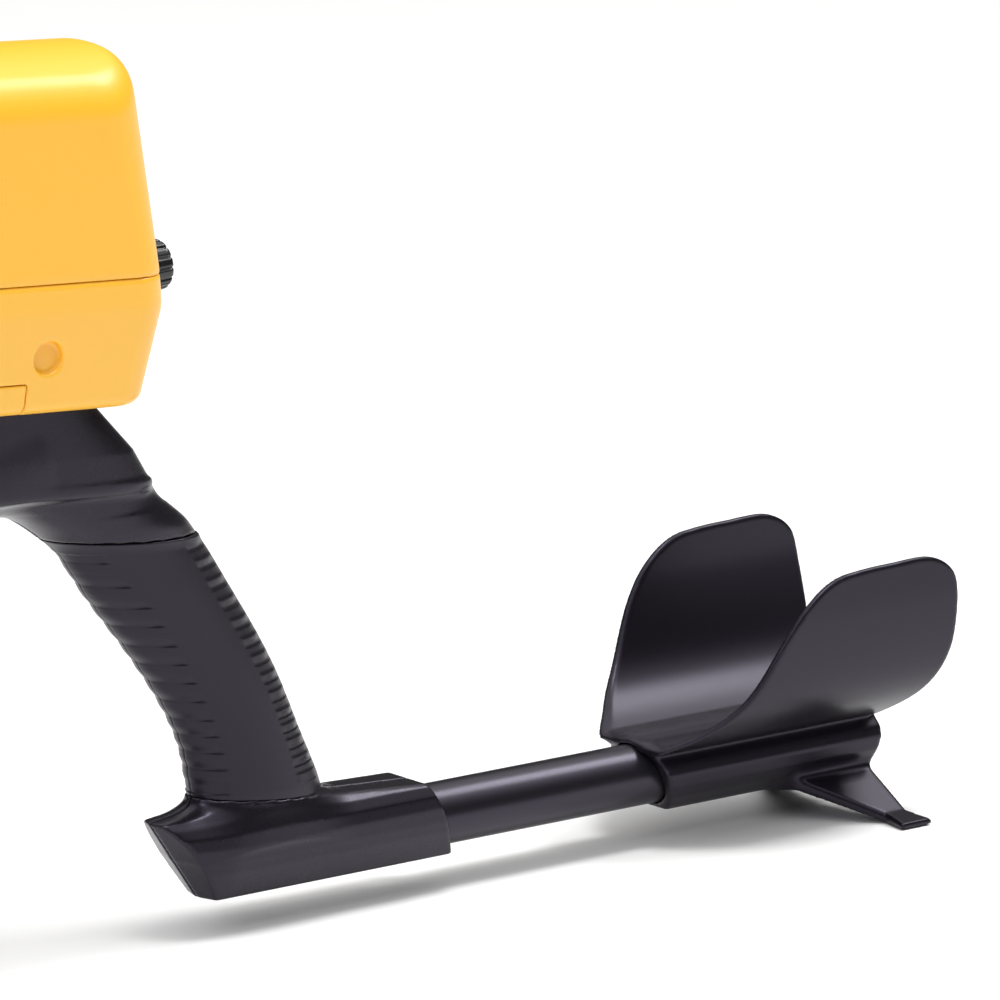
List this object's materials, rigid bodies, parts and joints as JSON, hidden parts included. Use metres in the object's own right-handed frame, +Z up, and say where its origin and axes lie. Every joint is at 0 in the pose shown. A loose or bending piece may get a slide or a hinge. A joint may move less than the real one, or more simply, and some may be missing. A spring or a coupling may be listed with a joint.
{
  "type": "metal detector",
  "caption": "Hand-held metal detector: yellow control box on an S-shaped ribbed grip, arm tube with cuff and legs, and a telescopic stem with a tilting search coil.",
  "frame": {"origin": "on the floor, below the middle of the whole length", "axes": "+X rearward along the arm tube (the cuff end), +Y to the right-hand side seen from the rear looking forward, +Z up"},
  "size_m": [1.0012, 0.2, 0.3124],
  "materials": {
    "black_shell": "satin moulded black plastic",
    "black_grip": "satin ribbed grip moulding",
    "black_cuff": "satin moulded black plastic",
    "black_tube": "satin black coating on aluminium",
    "stem_tube": "satin black coating on aluminium",
    "yellow_shell": "warm yellow semi-gloss moulding",
    "panel_black": "dark panel",
    "knob_black": "glossy black",
    "steel": "zinc-plated screws and shafts",
    "pot_metal": "pressed steel can",
    "meter_black": "black meter case",
    "meter_glass": "clear window",
    "meter_face": "pale dial",
    "needle_red": "thin painted needle",
    "speaker_metal": "pressed basket",
    "speaker_paper": "black paper cone",
    "magnet": "ferrite",
    "board_green": "printed circuit board",
    "board_parts": "moulded components",
    "battery": "plain battery sleeve",
    "spring_metal": "plated clips",
    "jack_metal": "plated socket",
    "socket_black": "moulded round socket",
    "bushing": "nylon",
    "lever_black": "ribbed twist collar",
    "coil_black": "satin moulded black plastic",
    "copper": "enamelled copper windings",
    "washer": "black rubber",
    "nylon_bolt": "black nylon"
  },
  "bodies": {
    "frame": {"handle_left": "black_shell", "handle_right": "black_shell", "grip_sleeve": "black_grip", "handle_screws": "steel", "arm_tube": "black_tube", "tube_screw": "steel", "cuff_screw": "steel", "upper_stem": "stem_tube", "stem_screw": "steel", "arm_cuff": "black_cuff", "housing_lower": "yellow_shell", "housing_upper": "yellow_shell", "housing_screws": "steel", "platform_screws": "steel", "control_panel": "panel_black", "potentiometers": "pot_metal", "pot_nuts": "steel", "meter_case": "meter_black", "meter_window": "meter_glass", "meter_dial": "meter_face", "meter_pivot": "steel", "speaker_frame": "speaker_metal", "speaker_magnet": "magnet", "speaker_cone": "speaker_paper", "circuit_board": "board_green", "board_parts": "board_parts", "battery_left": "battery", "battery_right": "battery", "battery_clips": "spring_metal", "headphone_jack": "jack_metal", "coil_socket": "socket_black", "stem_bushing": "bushing"},
    "knob_power": {"knob_power": "knob_black", "shaft_power": "steel"},
    "knob_tune": {"knob_tune": "knob_black", "shaft_tune": "steel"},
    "needle": {"meter_needle": "needle_red"},
    "battery_door_left": {"battery_door_left": "yellow_shell"},
    "battery_door_right": {"battery_door_right": "yellow_shell"},
    "lock_collar": {"lock_collar": "lever_black"},
    "lower_stem": {"lower_stem": "stem_tube", "stem_clevis": "bushing"},
    "coil": {"coil_top": "coil_black", "coil_bottom": "coil_black", "coil_gland": "socket_black", "transmit_winding": "copper", "receive_winding": "copper", "coil_bolt": "nylon_bolt", "friction_washers": "washer"},
    "hand_nut": {"coil_hand_nut": "nylon_bolt"}
  },
  "joints": [
    {"name": "power_turn", "type": "hinge", "parent": "frame", "child": "knob_power", "pos_m": [0.16644, -0.013, 0.23213], "axis": [0.9987, 0, 0.0506], "range_deg": [0, 300]},
    {"name": "tune_turn", "type": "hinge", "parent": "frame", "child": "knob_tune", "pos_m": [0.16644, 0.013, 0.23213], "axis": [0.9987, 0, 0.0506], "range_deg": [-150, 150]},
    {"name": "needle_swing", "type": "hinge", "parent": "frame", "child": "needle", "pos_m": [0.16523, 0, 0.2561], "axis": [-0.9987, 0, -0.0506], "range_deg": [0, 84], "stiffness_Nm_per_rad": 0.0005, "springref_deg": -5.73},
    {"name": "left_door_slide", "type": "slide", "parent": "frame", "child": "battery_door_left", "axis": [0, -1, 0], "range_m": [0, 0.035]},
    {"name": "right_door_slide", "type": "slide", "parent": "frame", "child": "battery_door_right", "axis": [0, 1, 0], "range_m": [0, 0.035]},
    {"name": "collar_twist", "type": "hinge", "parent": "frame", "child": "lock_collar", "pos_m": [-0.1711, 0, 0.0976], "axis": [-0.969, 0, -0.247], "range_deg": [0, 90]},
    {"name": "stem_slide", "type": "slide", "parent": "frame", "child": "lower_stem", "axis": [-0.969, 0, -0.247], "range_m": [0, 0.2]},
    {"name": "coil_tilt", "type": "hinge", "parent": "lower_stem", "child": "coil", "pos_m": [-0.4006, 0, 0.0391], "axis": [0, 1, 0], "range_deg": [-12, 90]},
    {"name": "hand_nut_turn", "type": "hinge", "parent": "coil", "child": "hand_nut", "pos_m": [-0.4006, 0, 0.0391], "axis": [0, 1, 0], "continuous": true}
  ]
}
